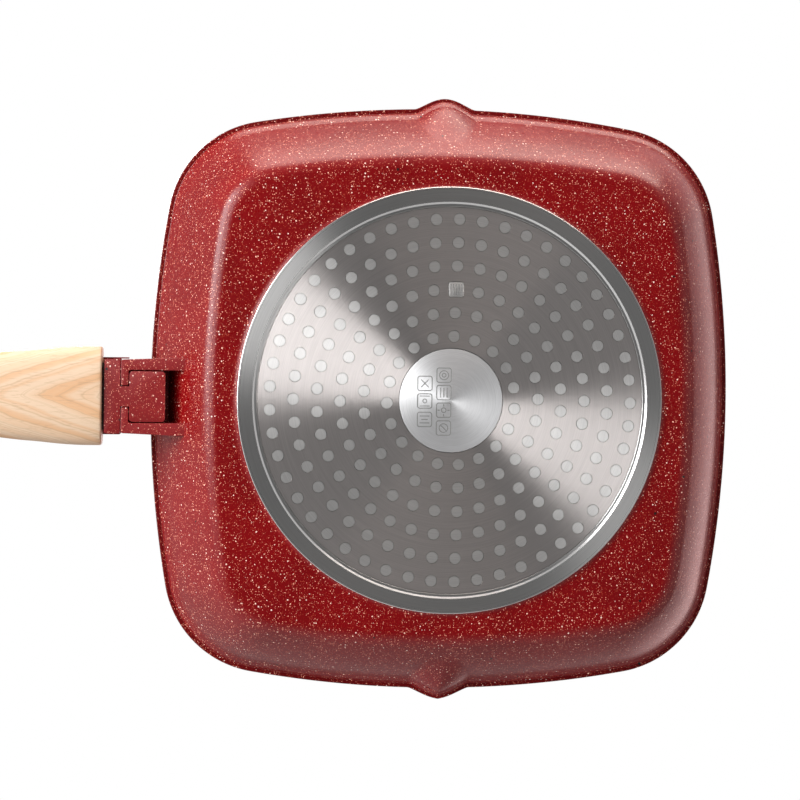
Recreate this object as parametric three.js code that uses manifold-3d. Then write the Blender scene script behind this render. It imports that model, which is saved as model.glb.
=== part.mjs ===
// Square grill pan in cast aluminium with a detachable wooden handle, in millimetres, +Z up.
// The origin is the centre of the round foot, on the surface that the pan stands on.
// The handle points along -X and the two pouring lips are on the +Y and -Y sides.

import * as THREE from 'three';
import { mergeVertices } from 'three/addons/utils/BufferGeometryUtils.js';
import Module from 'manifold-3d';

const wasm = await Module();
wasm.setup();

// Pan body: outline
const rimHalf = 140;
const rimCornerRadius = 50.7;
const sideRadius = 521;
const baseHalf = 110;
const baseCornerRadius = 28;
// Pan body: section
const panHeight = 43;
const footHeight = 1.5;
const floorThickness = 4.5;
const wallThickness = 3.6;
const beadOverhang = 4.8;
const baseFilletRadius = 7;
const floorFilletRadius = 8;
const beadHeight = 5;
const beadRound = 1.1;
const rimEdgeRound = 0.8;
// Pan body: pouring lips
const lipHalfWidth = 14.6;
const lipReach = 5.4;
const lipWallReach = 6.6;
const lipStartHeight = 12;
// Pan body: grill ribs on the cooking floor
const ribPitch = 13;
const ribWidth = 4.6;
const ribHeight = 4.6;
const ribBevel = 1.1;
const ribMargin = 9;
const ribRootDepth = 1.6;
// Pan body: turned foot, with the pocket and the hub that hold the steel disc
const footRadius = 99.5;
const footChamfer = 0.6;
const footInnerRadius = 92.4;
const bandDepth = 0.6;
const pocketDepth = 1.7;
const hubRadius = 24.2;
const hubEdge = 0.4;
const footRootHeight = 3.2;
// Pan body: cast bracket for the handle
const bracketHalfWidth = 17.2;
const bracketFlare = 1.1;
const armThickness = 4.85;
const lipThickness = 3.6;
const slotHalfWidth = 5.07;
const bracketUnderside = 17;
const bracketTop = 34.5;
const roofThickness = 4.2;
const bracketCornerRadius = 1;
const bracketRootDepth = 11;
const bracketFlareLength = 15;
// Steel disc pressed into the base
const discRadius = 90;
const discThickness = 0.7;
const dotRadius = 2.85;
const firstRingRadius = 30;
const ringPitch = 10.9;
const ringCounts = [19, 25, 31, 37, 43, 49];
const rowAngle = THREE.MathUtils.degToRad(-88);
const squareHoleRing = 2;
const squareHoleWidth = 7.4;
const squareHoleCorner = 1.2;
// Handle head: the casting that hooks into the bracket
const tBlockHalfWidth = 11.8;
const tBlockCornerRadius = 1.5;
const tBlockLength = 16.7;
const tBlockWallGap = 2.14;
const tBlockHeight = 13;
const tBlockTopChamfer = 1.4;
const neckHalfWidth = 4.75;
const collarLength = 7.4;
const collarHalfWidth = 17.4;
const collarCornerRadius = 1;
const deckTop = 36.5;
const deckThickness = 3;
const deckHalfWidth = 18.3;
const deckLength = 45.4;
const deckEndRadius = 7;
const tenonLength = 20;
const tenonHalfWidth = 13;
const tenonUnderside = 19;
const tenonCornerRadius = 3;
const earLength = 3.6;
const earThickness = 0.65;
const earUnderside = 27;
// Spring-steel latch leaf
const leafThickness = 1;
const leafHalfWidth = 4.4;
const leafSetback = 2.7;
const leafFoot = 20;
const leafSeatTop = 25;
const leafTabTop = 38.4;
const leafNoseLength = 5.9;
const leafBendRadius = 1;
const latchTravel = 3.5;
// Thumb slide and its cover
const slideFrontSetback = 1.9;
const slideLength = 33;
const slideHalfWidth = 9.5;
const slideThickness = 2.3;
const slideCornerRadius = 0.6;
const padSetback = 14.9;
const padLength = 14;
const padHalfWidth = 6.6;
const padProud = 2.2;
const padRidgeCount = 4;
const padRidgeDepth = 0.8;
const padRidgeWidth = 1.4;
const coverFrontTop = 40.9;
const coverEdgeRadius = 2;
const coverCornerRadius = 1;
// Cover screws
const screwSetback = 22.4;
const screwSpread = 14.1;
const screwRadius = 1.5;
const screwHeadRadius = 2.7;
const screwHeadHeight = 1.9;
const screwEnd = 34.2;
const screwSeat = 39.5;
// Insulating washer between the collar and the grip
const washerThickness = 0.6;
const washerHalfWidth = 15.6;
const washerUnderside = 17.8;
// Wooden grip
const gripLength = 156;
const gripHalfWidth = 23.2;
const gripHalfHeight = 13;
const gripCentreHeight = 28;
const gripRise = 13.6;
const gripEdgeRadius = 1;
const hangSlotMargin = 15.2;
const hangSlotLength = 26;
const hangSlotHalfWidth = 6;
const hangSlotRoundShare = 0.98;
// Tie rod through the grip, with its washer and nut
const rodRadius = 3;
const rodFrontDepth = 4.8;
const rodSlotGap = 2;
const nutAcrossFlats = 10;
const nutThickness = 5;
const nutSetback = 3.5;
const rodWasherRadius = 6.2;
const rodWasherThickness = 1.5;
const counterboreRadius = 6.9;
// Clearances
const clearance = 0.3;
const cutOverrun = 4;
const weldDistance = 0.0001;

// How many straight steps stand in for each curve
const cornerSteps = 7;
const sideSteps = 6;
const besideLipSteps = 3;
const lipSteps = 10;
const filletSteps = 3;
const footSteps = 60;
const discSteps = 60;
const hubSteps = 30;
const dotSteps = 7;
const gripSteps = 28;
const smallRoundSteps = 14;
const tinyCornerSteps = 3;

// The wall is a straight flare that leaves the base fillet at a tangent and ends under the bead.
const wallTopHalf = rimHalf - beadOverhang;
const wallTopHeight = panHeight - beadHeight;
const filletCentreHeight = footHeight + baseFilletRadius;
const toWallTop = new THREE.Vector2(wallTopHalf - baseHalf, wallTopHeight - filletCentreHeight);
const wallNormalAngle = toWallTop.angle() - Math.acos(baseFilletRadius / toWallTop.length());
const wallSlope = -Math.tan(wallNormalAngle);
const wallInset = wallThickness / Math.cos(wallNormalAngle);

function wallHalfAt(height) {
  return wallTopHalf + (height - wallTopHeight) * wallSlope;
}

// Places behind the wall, each measured from the piece in front of it
const tBlockTop = bracketUnderside + tBlockHeight;
const tBlockFront = wallHalfAt(tBlockTop) + tBlockWallGap;
const tBlockBack = tBlockFront + tBlockLength;
const bracketRoot = wallHalfAt(bracketUnderside) - bracketRootDepth;
const bracketFlareEnd = bracketRoot + bracketFlareLength;
const pocketEnd = tBlockBack + clearance;
const bracketEnd = pocketEnd + lipThickness;
const collarFront = bracketEnd + clearance;
const collarBack = collarFront + collarLength;
const deckEnd = collarFront + deckLength;
const leafFront = collarFront + leafSetback;
const leafBack = leafFront + leafThickness;
const padFront = collarFront + padSetback;
const screwPlace = collarFront + screwSetback;
const gripFront = collarBack + washerThickness + 2 * clearance;
const hangSlotEnd = gripFront + gripLength - hangSlotMargin;
const hangSlotStart = hangSlotEnd - hangSlotLength;
const rodFront = gripFront + rodFrontDepth;
const rodEnd = hangSlotStart - rodSlotGap;
const nutPlace = rodEnd - nutSetback;

// Geometry helpers

// A closed geometry as a manifold solid, turned right side out where its winding is reversed.
function solid(geometry) {
  const bare = geometry.clone();
  bare.deleteAttribute('normal');
  bare.deleteAttribute('uv');
  const merged = mergeVertices(bare, weldDistance);
  const vertices = merged.getAttribute('position').array;
  const triangles = Array.from(merged.index.array);
  if (signedVolume(vertices, triangles) < 0) {
    for (let i = 0; i < triangles.length; i += 3) {
      [triangles[i], triangles[i + 1]] = [triangles[i + 1], triangles[i]];
    }
  }
  return new wasm.Manifold(new wasm.Mesh({
    numProp: 3,
    vertProperties: Float32Array.from(vertices),
    triVerts: Uint32Array.from(triangles),
  }));
}

function signedVolume(vertices, triangles) {
  const [a, b, c] = [new THREE.Vector3(), new THREE.Vector3(), new THREE.Vector3()];
  let volume = 0;
  for (let i = 0; i < triangles.length; i += 3) {
    a.fromArray(vertices, 3 * triangles[i]);
    b.fromArray(vertices, 3 * triangles[i + 1]);
    c.fromArray(vertices, 3 * triangles[i + 2]);
    volume += a.dot(b.cross(c)) / 6;
  }
  return volume;
}

function geometryOf(manifold) {
  const mesh = manifold.getMesh();
  const geometry = new THREE.BufferGeometry();
  geometry.setAttribute('position', new THREE.BufferAttribute(mesh.vertProperties, 3));
  geometry.setIndex(new THREE.BufferAttribute(mesh.triVerts, 1));
  geometry.computeVertexNormals();
  return geometry;
}

// A plan outline (XY) raised from one height to another.
function raised(shape, bottom, top) {
  const geometry = new THREE.ExtrudeGeometry(shape, { depth: top - bottom, bevelEnabled: false });
  return solid(geometry.translate(0, 0, bottom));
}

// A side outline (X, Z) given a width along Y, centred on a place.
function acrossY(shape, halfWidth, centre = 0) {
  const geometry = new THREE.ExtrudeGeometry(shape, { depth: 2 * halfWidth, bevelEnabled: false });
  geometry.rotateX(Math.PI / 2);
  return solid(geometry.translate(0, centre + halfWidth, 0));
}

function polygon(points) {
  return new THREE.Shape(points.map(([x, y]) => new THREE.Vector2(x, y)));
}

function circlePoints(radius, steps, x = 0, y = 0, turn = 0) {
  const points = [];
  for (let i = 0; i < steps; i += 1) {
    const angle = turn + 2 * Math.PI * i / steps;
    points.push(new THREE.Vector2(x + radius * Math.cos(angle), y + radius * Math.sin(angle)));
  }
  return points;
}

// A polygon whose corners are rounded: each point is [x, y, corner radius].
function rounded(corners) {
  const points = [];
  corners.forEach(([x, y, radius], i) => {
    const corner = new THREE.Vector2(x, y);
    const before = corners[(i + corners.length - 1) % corners.length];
    const after = corners[(i + 1) % corners.length];
    if (!radius) {
      points.push(corner);
      return;
    }
    const toBefore = new THREE.Vector2(before[0] - x, before[1] - y).normalize();
    const toAfter = new THREE.Vector2(after[0] - x, after[1] - y).normalize();
    const half = Math.acos(THREE.MathUtils.clamp(toBefore.dot(toAfter), -1, 1)) / 2;
    const bisector = toBefore.clone().add(toAfter).normalize();
    const centre = corner.clone().addScaledVector(bisector, radius / Math.sin(half));
    const start = corner.clone().addScaledVector(toBefore, radius / Math.tan(half)).sub(centre);
    const end = corner.clone().addScaledVector(toAfter, radius / Math.tan(half)).sub(centre);
    let sweep = end.angle() - start.angle();
    sweep -= 2 * Math.PI * Math.round(sweep / (2 * Math.PI));
    for (let k = 0; k <= tinyCornerSteps; k += 1) {
      const angle = start.angle() + sweep * k / tinyCornerSteps;
      const spoke = new THREE.Vector2(Math.cos(angle), Math.sin(angle));
      points.push(centre.clone().addScaledVector(spoke, radius));
    }
  });
  return new THREE.Shape(points);
}

// A rectangle in X and Y, or in X and Z, with rounded corners.
function block(x0, x1, y0, y1, radius = 0) {
  return rounded([[x0, y0, radius], [x1, y0, radius], [x1, y1, radius], [x0, y1, radius]]);
}

// Rings with as many points each, joined into one closed skin with a fan on each end.
function loft(rings) {
  const steps = rings[0].length;
  const positions = [];
  const index = [];
  rings.forEach((ring) => ring.forEach((point) => positions.push(point.x, point.y, point.z)));
  for (let r = 0; r + 1 < rings.length; r += 1) {
    for (let i = 0; i < steps; i += 1) {
      const j = (i + 1) % steps;
      const [a, b] = [r * steps + i, r * steps + j];
      index.push(a, b, b + steps, a, b + steps, a + steps);
    }
  }
  [0, rings.length - 1].forEach((end) => {
    const middle = new THREE.Vector3();
    rings[end].forEach((point) => middle.addScaledVector(point, 1 / steps));
    const centre = positions.length / 3;
    positions.push(middle.x, middle.y, middle.z);
    for (let i = 0; i < steps; i += 1) {
      const [a, b] = [end * steps + i, end * steps + (i + 1) % steps];
      index.push(...(end === 0 ? [centre, b, a] : [centre, a, b]));
    }
  });
  const geometry = new THREE.BufferGeometry();
  geometry.setAttribute('position', new THREE.Float32BufferAttribute(positions, 3));
  geometry.setIndex(index);
  return solid(geometry);
}

// A profile of [radius, height] pairs spun about the Z axis.
function turned(profile, steps) {
  const points = profile.map(([radius, height]) => new THREE.Vector2(radius, height));
  return solid(new THREE.LatheGeometry(points, steps).rotateX(Math.PI / 2));
}

// A cylinder along the grip's axis, from one distance behind the origin to another.
const gripTilt = Math.atan2(gripRise, gripLength);

function gripAxisHeight(distance) {
  return gripCentreHeight + (distance - gripFront) * Math.tan(gripTilt);
}

function alongGrip(radius, from, to, steps = smallRoundSteps) {
  const length = (to - from) / Math.cos(gripTilt);
  const geometry = new THREE.CylinderGeometry(radius, radius, length, steps);
  geometry.rotateZ(Math.PI / 2).rotateY(gripTilt);
  const middle = (from + to) / 2;
  return solid(geometry.translate(-middle, 0, gripAxisHeight(middle)));
}

// A cylinder standing on a height.
function upright(radius, x, y, bottom, top, steps = smallRoundSteps) {
  return raised(new THREE.Shape(circlePoints(radius, steps, x, y)), bottom, top);
}

// Pan body

function cornerRadiusAt(half) {
  const share = (half - baseHalf) / (rimHalf - baseHalf);
  return baseCornerRadius + (rimCornerRadius - baseCornerRadius) * share;
}

// The pouring lip swells each +Y and -Y side: its reach at a height, and its share across the width.
function lipShareAt(height) {
  const wallTop = panHeight - beadHeight;
  return THREE.MathUtils.smoothstep(height, lipStartHeight, wallTop);
}

function lipPushAt(across, height, reach) {
  const upShare = lipShareAt(height);
  const narrowShare = 0.6;
  const width = lipHalfWidth * (narrowShare + (1 - narrowShare) * upShare);
  const place = Math.min(1, Math.abs(across) / width);
  return reach * upShare * Math.cos(place * Math.PI / 2) ** 2;
}

// One square outline with bowed sides and round corners, at a half width and a height.
function panRing(half, height, inset = 0, reach = lipWallReach) {
  const corner = cornerRadiusAt(half + inset) - inset;
  const bow = sideRadius - inset;
  const bowCentre = half - bow;
  const cornerCentre = (bowCentre + Math.sqrt(2 * (bow - corner) ** 2 - bowCentre ** 2)) / 2;
  const sideAngle = Math.atan2(cornerCentre, cornerCentre - bowCentre);
  const sideEnd = bow * Math.sin(sideAngle);
  const ring = [];
  const add = (x, y, turn) => {
    const point = new THREE.Vector3(x, y, height);
    ring.push(point.applyAxisAngle(new THREE.Vector3(0, 0, 1), turn));
  };
  const lipBand = Math.min(lipHalfWidth, sideEnd);
  for (let quarter = 0; quarter < 4; quarter += 1) {
    const turn = quarter * Math.PI / 2;
    const places = [];
    if (quarter % 2 === 0) {
      for (let i = 0; i < sideSteps; i += 1) places.push(sideEnd * (2 * i / sideSteps - 1));
    } else {
      const besideLength = sideEnd - lipBand;
      for (let i = 0; i < besideLipSteps; i += 1) places.push(-sideEnd + besideLength * i / besideLipSteps);
      for (let i = 0; i < lipSteps; i += 1) places.push(lipBand * (2 * i / lipSteps - 1));
      for (let i = 0; i < besideLipSteps; i += 1) places.push(lipBand + besideLength * i / besideLipSteps);
    }
    places.forEach((place) => {
      const push = quarter % 2 === 1 ? lipPushAt(place, height, reach) : 0;
      add(bowCentre + Math.sqrt(bow ** 2 - place ** 2) + push, place, turn);
    });
    for (let i = 0; i < cornerSteps; i += 1) {
      const angle = sideAngle + (Math.PI / 2 - 2 * sideAngle) * i / cornerSteps;
      add(cornerCentre + corner * Math.cos(angle), cornerCentre + corner * Math.sin(angle), turn);
    }
  }
  return ring;
}

function outerPlug() {
  const rings = [];
  for (let i = 0; i <= filletSteps; i += 1) {
    const angle = -Math.PI / 2 + (wallNormalAngle + Math.PI / 2) * i / filletSteps;
    rings.push(panRing(
      baseHalf + baseFilletRadius * Math.cos(angle),
      filletCentreHeight + baseFilletRadius * Math.sin(angle),
    ));
  }
  const wallRowShares = [0, 1 / 3, 2 / 3];
  wallRowShares.forEach((share) => {
    const height = lipStartHeight + (wallTopHeight - lipStartHeight) * share;
    rings.push(panRing(wallHalfAt(height), height));
  });
  rings.push(panRing(wallTopHalf, wallTopHeight));
  rings.push(panRing(rimHalf - beadRound, wallTopHeight, 0, lipReach));
  rings.push(panRing(rimHalf, wallTopHeight + beadRound, 0, lipReach));
  rings.push(panRing(rimHalf, panHeight - rimEdgeRound, 0, lipReach));
  rings.push(panRing(rimHalf - rimEdgeRound, panHeight, 0, lipReach));
  return loft(rings);
}

// The cooking hollow: a flat floor, a fillet and a wall that runs parallel to the outer one.
function cookingHollow() {
  const floorHeight = footHeight + floorThickness;
  const centreHeight = floorHeight + floorFilletRadius;
  const innerHalfAt = (height) => wallHalfAt(height) - wallInset;
  const centreHalf = innerHalfAt(centreHeight) - floorFilletRadius / Math.cos(wallNormalAngle);
  const rings = [];
  for (let i = 0; i <= filletSteps; i += 1) {
    const angle = -Math.PI / 2 + (wallNormalAngle + Math.PI / 2) * i / filletSteps;
    rings.push(panRing(
      centreHalf + floorFilletRadius * Math.cos(angle),
      centreHeight + floorFilletRadius * Math.sin(angle),
      wallInset,
    ));
  }
  const upperRows = [(centreHeight + wallTopHeight) / 2, wallTopHeight, panHeight - rimEdgeRound];
  upperRows.forEach((height) => rings.push(panRing(innerHalfAt(height), height, wallInset)));
  rings.push(panRing(innerHalfAt(panHeight) + rimEdgeRound, panHeight, wallInset));
  rings.push(panRing(innerHalfAt(panHeight) + rimEdgeRound, panHeight + cutOverrun, wallInset));
  return { hollow: loft(rings), floorHalf: centreHalf };
}

// The underside of the foot: a flat ring that the pan stands on, a band, a pocket and a hub.
function foot() {
  const bandRadius = footInnerRadius - footChamfer;
  const pocketRadius = discRadius + clearance;
  return turned([
    [0, bandDepth],
    [hubRadius - hubEdge, bandDepth],
    [hubRadius, bandDepth + hubEdge],
    [hubRadius, pocketDepth],
    [pocketRadius, pocketDepth],
    [pocketRadius, bandDepth],
    [bandRadius, bandDepth],
    [footInnerRadius, 0],
    [footRadius - footChamfer, 0],
    [footRadius, footChamfer],
    [footRadius, footRootHeight],
    [0, footRootHeight],
  ], footSteps);
}

// The bracket in plan: two arms that end in lips, with a slot for the handle's neck between them.
function bracket() {
  const innerHalf = bracketHalfWidth - armThickness;
  const rootWidth = bracketHalfWidth + bracketFlare;
  const arms = rounded([
    [-bracketRoot, -rootWidth, 0],
    [-bracketFlareEnd, -rootWidth, 0],
    [-bracketEnd, -bracketHalfWidth, bracketCornerRadius],
    [-bracketEnd, -slotHalfWidth, bracketCornerRadius],
    [-pocketEnd, -slotHalfWidth, 0],
    [-pocketEnd, -innerHalf, bracketCornerRadius],
    [-bracketRoot, -innerHalf, 0],
  ].reverse());
  const mirrored = rounded([
    [-bracketRoot, rootWidth, 0],
    [-bracketFlareEnd, rootWidth, 0],
    [-bracketEnd, bracketHalfWidth, bracketCornerRadius],
    [-bracketEnd, slotHalfWidth, bracketCornerRadius],
    [-pocketEnd, slotHalfWidth, 0],
    [-pocketEnd, innerHalf, bracketCornerRadius],
    [-bracketRoot, innerHalf, 0],
  ]);
  const roof = rounded([
    [-bracketRoot, -rootWidth, 0],
    [-bracketFlareEnd, -rootWidth, 0],
    [-bracketEnd, -bracketHalfWidth, bracketCornerRadius],
    [-bracketEnd, bracketHalfWidth, bracketCornerRadius],
    [-bracketFlareEnd, rootWidth, 0],
    [-bracketRoot, rootWidth, 0],
  ].reverse());
  return raised(arms, bracketUnderside, bracketTop)
    .add(raised(mirrored, bracketUnderside, bracketTop))
    .add(raised(roof, bracketTop - roofThickness, bracketTop));
}

// One grill rib: a round-ended bar with a bevelled crown, its root sunk in the floor.
function rib(halfLength, place) {
  const radius = ribWidth / 2 - ribBevel;
  const straight = halfLength - ribWidth / 2;
  const endSteps = 3;
  const points = [];
  for (let i = 0; i <= endSteps; i += 1) {
    const angle = -Math.PI / 2 + Math.PI * i / endSteps;
    points.push(new THREE.Vector2(straight + radius * Math.cos(angle), radius * Math.sin(angle)));
  }
  for (let i = 0; i <= endSteps; i += 1) {
    const angle = Math.PI / 2 + Math.PI * i / endSteps;
    points.push(new THREE.Vector2(-straight + radius * Math.cos(angle), radius * Math.sin(angle)));
  }
  const geometry = new THREE.ExtrudeGeometry(new THREE.Shape(points), {
    depth: ribHeight + ribRootDepth - 2 * ribBevel,
    bevelThickness: ribBevel,
    bevelSize: ribBevel,
    bevelSegments: 1,
  });
  const bottom = footHeight + floorThickness - ribRootDepth + ribBevel;
  return solid(geometry.translate(0, place, bottom));
}

function ribLengths(floorHalf) {
  const edge = floorHalf - ribMargin;
  const corner = cornerRadiusAt(floorHalf) - ribMargin;
  const sideCount = Math.floor((edge - ribWidth / 2) / ribPitch);
  const lengths = [];
  for (let i = -sideCount; i <= sideCount; i += 1) {
    const place = i * ribPitch;
    const intoCorner = Math.max(0, Math.abs(place) + ribWidth / 2 - (edge - corner));
    const cutBack = corner - Math.sqrt(Math.max(0, corner ** 2 - intoCorner ** 2));
    lengths.push({ place, halfLength: edge - cutBack });
  }
  return lengths;
}

function panBody() {
  const { hollow, floorHalf } = cookingHollow();
  let body = outerPlug().add(bracket()).add(foot()).subtract(hollow);
  ribLengths(floorHalf).forEach(({ place, halfLength }) => {
    body = body.add(rib(halfLength, place));
  });
  return body;
}

// Steel disc: rings of round holes that lock it to the aluminium, and one rounded square hole
function inductionDisc() {
  const shape = new THREE.Shape(circlePoints(discRadius, discSteps));
  shape.holes.push(new THREE.Path(circlePoints(hubRadius + clearance, hubSteps)));
  ringCounts.forEach((count, ring) => {
    const radius = firstRingRadius + ring * ringPitch;
    for (let i = 0; i < count; i += 1) {
      const angle = rowAngle + 2 * Math.PI * i / count;
      const [x, y] = [radius * Math.cos(angle), radius * Math.sin(angle)];
      if (ring === squareHoleRing && i === 0) {
        const half = squareHoleWidth / 2;
        shape.holes.push(block(x - half, x + half, y - half, y + half, squareHoleCorner));
      } else {
        shape.holes.push(new THREE.Path(circlePoints(dotRadius, dotSteps, x, y, angle)));
      }
    }
  });
  return raised(shape, bandDepth, bandDepth + discThickness);
}

// Handle head

// The T-block has a chamfered top edge, so that it finds its way up into the pocket.
function tBlock() {
  const plan = block(-tBlockBack, -tBlockFront, -tBlockHalfWidth, tBlockHalfWidth, tBlockCornerRadius);
  const side = polygon([
    [-tBlockBack, bracketUnderside],
    [-tBlockFront, bracketUnderside],
    [-tBlockFront, tBlockTop - tBlockTopChamfer],
    [-tBlockFront - tBlockTopChamfer, tBlockTop],
    [-tBlockBack, tBlockTop],
  ]);
  return raised(plan, bracketUnderside, tBlockTop).intersect(acrossY(side, tBlockHalfWidth + cutOverrun));
}

// Deck, cover and the notch in the grip share this outline, with round corners at the back.
function deckOutline(grow = 0, front = collarFront) {
  const half = deckHalfWidth + grow;
  return rounded([
    [-deckEnd - grow, -half, deckEndRadius],
    [-front, -half, coverCornerRadius],
    [-front, half, coverCornerRadius],
    [-deckEnd - grow, half, deckEndRadius],
  ]);
}

// One ear on the collar steadies the bracket's side.
function collarEar() {
  const inner = bracketHalfWidth + clearance + earThickness / 4;
  const outer = inner + earThickness;
  const plan = polygon([
    [-collarFront - earLength, -outer],
    [-collarFront + earLength, -outer],
    [-collarFront + earLength, -inner],
    [-collarFront - clearance / 2, -inner],
    [-collarFront - clearance / 2, -inner + earThickness * 2],
    [-collarFront - earLength, -inner + earThickness * 2],
  ]);
  return raised(plan, earUnderside, deckTop);
}

function leafSlot() {
  const half = leafHalfWidth + clearance;
  const seat = block(-leafBack - clearance, -leafFront + clearance, leafFoot - clearance, deckTop + cutOverrun);
  const swing = polygon([
    [-leafBack - clearance, leafSeatTop],
    [-leafFront + clearance, leafSeatTop],
    [-leafFront + clearance, deckTop + cutOverrun],
    [-leafBack - latchTravel - 2 * clearance, deckTop + cutOverrun],
    [-leafBack - latchTravel - 2 * clearance, bracketTop - leafThickness],
  ]);
  const noseWindow = block(-leafFront, -collarFront + cutOverrun, bracketTop - clearance, deckTop + cutOverrun);
  return acrossY(seat, half).add(acrossY(swing, half)).add(acrossY(noseWindow, half));
}

function handleHead() {
  const neck = block(-collarFront - clearance, -tBlockBack + clearance, -neckHalfWidth, neckHalfWidth);
  const collar = block(-collarBack, -collarFront, -collarHalfWidth, collarHalfWidth, collarCornerRadius);
  const tenon = rounded([
    [-collarBack - tenonLength, -tenonHalfWidth, tenonCornerRadius],
    [-collarBack + clearance, -tenonHalfWidth, 0],
    [-collarBack + clearance, tenonHalfWidth, 0],
    [-collarBack - tenonLength, tenonHalfWidth, tenonCornerRadius],
  ]);
  let head = tBlock()
    .add(raised(neck, bracketUnderside, tBlockTop))
    .add(raised(collar, bracketUnderside, deckTop))
    .add(raised(tenon, tenonUnderside, deckTop))
    .add(raised(deckOutline(), deckTop - deckThickness, deckTop))
    .add(collarEar());
  head = head.subtract(leafSlot());
  head = head.subtract(alongGrip(rodRadius + clearance, rodFront - clearance, rodEnd));
  [-screwSpread, screwSpread].forEach((place) => {
    const radius = screwRadius + clearance;
    head = head.subtract(upright(radius, -screwPlace, place, screwEnd - clearance, deckTop + cutOverrun));
  });
  return head;
}

// Latch leaf: a steel strip that stands in the head, with a nose bent over the bracket's roof
function latchLeaf() {
  const noseUnderside = bracketTop + clearance;
  const side = rounded([
    [-leafBack, leafFoot, 0],
    [-leafFront, leafFoot, 0],
    [-leafFront, noseUnderside, 0],
    [-leafFront + leafNoseLength, noseUnderside, 0],
    [-leafFront + leafNoseLength, noseUnderside + leafThickness, leafThickness / 2],
    [-leafFront, noseUnderside + leafThickness, leafBendRadius / 2],
    [-leafFront, leafTabTop, leafThickness / 4],
    [-leafBack, leafTabTop, leafThickness / 4],
  ]);
  return acrossY(side, leafHalfWidth);
}

// Thumb slide: a flat plate under the cover, and a ridged pad that stands up through the window

const slideUnderside = deckTop + clearance;
const slideFront = collarFront + slideFrontSetback - clearance;
const slideBack = slideFront + slideLength;
const coverSlope = Math.tan(gripTilt);

function coverTopAt(distance) {
  return coverFrontTop + (distance - collarFront) * coverSlope;
}

function thumbPad() {
  const back = padFront + padLength;
  const edge = (distance) => coverTopAt(distance) + padProud;
  const outline = [
    [-back, slideUnderside],
    [-padFront, slideUnderside],
    [-padFront, edge(padFront) - padRidgeDepth],
  ];
  const ridgeSpace = (padLength - padRidgeWidth) / (padRidgeCount - 1);
  for (let i = 0; i < padRidgeCount; i += 1) {
    const start = padFront + i * ridgeSpace;
    outline.push([-start - padRidgeWidth / 4, edge(start)]);
    outline.push([-start - padRidgeWidth * 3 / 4, edge(start)]);
    if (i + 1 < padRidgeCount) {
      outline.push([-start - padRidgeWidth, edge(start) - padRidgeDepth]);
      outline.push([-start - ridgeSpace, edge(start + ridgeSpace) - padRidgeDepth]);
    }
  }
  outline.push([-back, edge(back) - padRidgeDepth]);
  const plan = block(-back, -padFront, -padHalfWidth, padHalfWidth, padHalfWidth / 3);
  return acrossY(polygon(outline), padHalfWidth).intersect(raised(plan, 0, 2 * panHeight));
}

function thumbSlide() {
  const plate = block(-slideBack, -slideFront, -slideHalfWidth, slideHalfWidth, slideCornerRadius);
  const tabSlot = block(
    -leafBack - clearance, -leafFront + clearance, -leafHalfWidth - clearance, leafHalfWidth + clearance);
  return raised(plate, slideUnderside, slideUnderside + slideThickness)
    .subtract(raised(tabSlot, 0, 2 * panHeight))
    .add(thumbPad());
}

// Head cover: a hood that keeps the slide in its track, with the window for the pad
function headCover() {
  const underside = deckTop + clearance;
  const side = rounded([
    [-deckEnd, underside, 0],
    [-collarFront, underside, 0],
    [-collarFront, coverTopAt(collarFront), coverEdgeRadius],
    [-deckEnd, coverTopAt(deckEnd), coverEdgeRadius],
  ]);
  const track = block(
    -slideBack - latchTravel - clearance, -slideFront + clearance,
    -slideHalfWidth - clearance, slideHalfWidth + clearance);
  const window = block(
    -padFront - padLength - latchTravel - 2 * clearance, -padFront + clearance,
    -padHalfWidth - clearance, padHalfWidth + clearance, padHalfWidth / 3);
  let cover = raised(deckOutline(), underside, 2 * panHeight)
    .intersect(acrossY(side, deckHalfWidth + cutOverrun))
    .subtract(raised(track, 0, slideUnderside + slideThickness + clearance))
    .subtract(raised(window, 0, 2 * panHeight));
  [-screwSpread, screwSpread].forEach((place) => {
    cover = cover
      .subtract(upright(screwRadius + clearance, -screwPlace, place, 0, 2 * panHeight))
      .subtract(upright(screwHeadRadius + clearance, -screwPlace, place, screwSeat, 2 * panHeight));
  });
  return cover;
}

function coverScrew(place) {
  const seat = screwSeat + clearance;
  const profile = [
    [0, screwEnd],
    [screwRadius, screwEnd],
    [screwRadius, seat],
    [screwHeadRadius, seat],
    [screwHeadRadius, seat + screwHeadHeight * 2 / 3],
    [screwHeadRadius * 2 / 3, seat + screwHeadHeight],
    [0, seat + screwHeadHeight],
  ];
  return turned(profile, smallRoundSteps).translate([-screwPlace, place, 0]);
}

// Insulating washer, a flat sheet with a window for the tenon
function heatWasher() {
  const front = collarBack + clearance;
  const sheet = block(-front - washerThickness, -front, washerUnderside, deckTop - deckThickness - clearance);
  const window = block(-front - cutOverrun, -front + cutOverrun, tenonUnderside - clearance, 2 * panHeight);
  return acrossY(sheet, washerHalfWidth).subtract(acrossY(window, tenonHalfWidth + clearance));
}

// Wooden grip

// Each station is [share of the length, share of the half width, share of the half height].
const gripStations = [
  [0, 1, 1], [0.07, 1, 1], [0.13, 0.978, 0.99], [0.19, 0.94, 0.98], [0.25, 0.909, 0.965],
  [0.31, 0.868, 0.945], [0.42, 0.81, 0.905], [0.54, 0.772, 0.87], [0.66, 0.757, 0.84],
  [0.78, 0.765, 0.81], [0.87, 0.765, 0.785], [0.93, 0.7, 0.75], [0.965, 0.58, 0.69],
  [0.99, 0.38, 0.56], [1, 0.2, 0.42],
];

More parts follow.
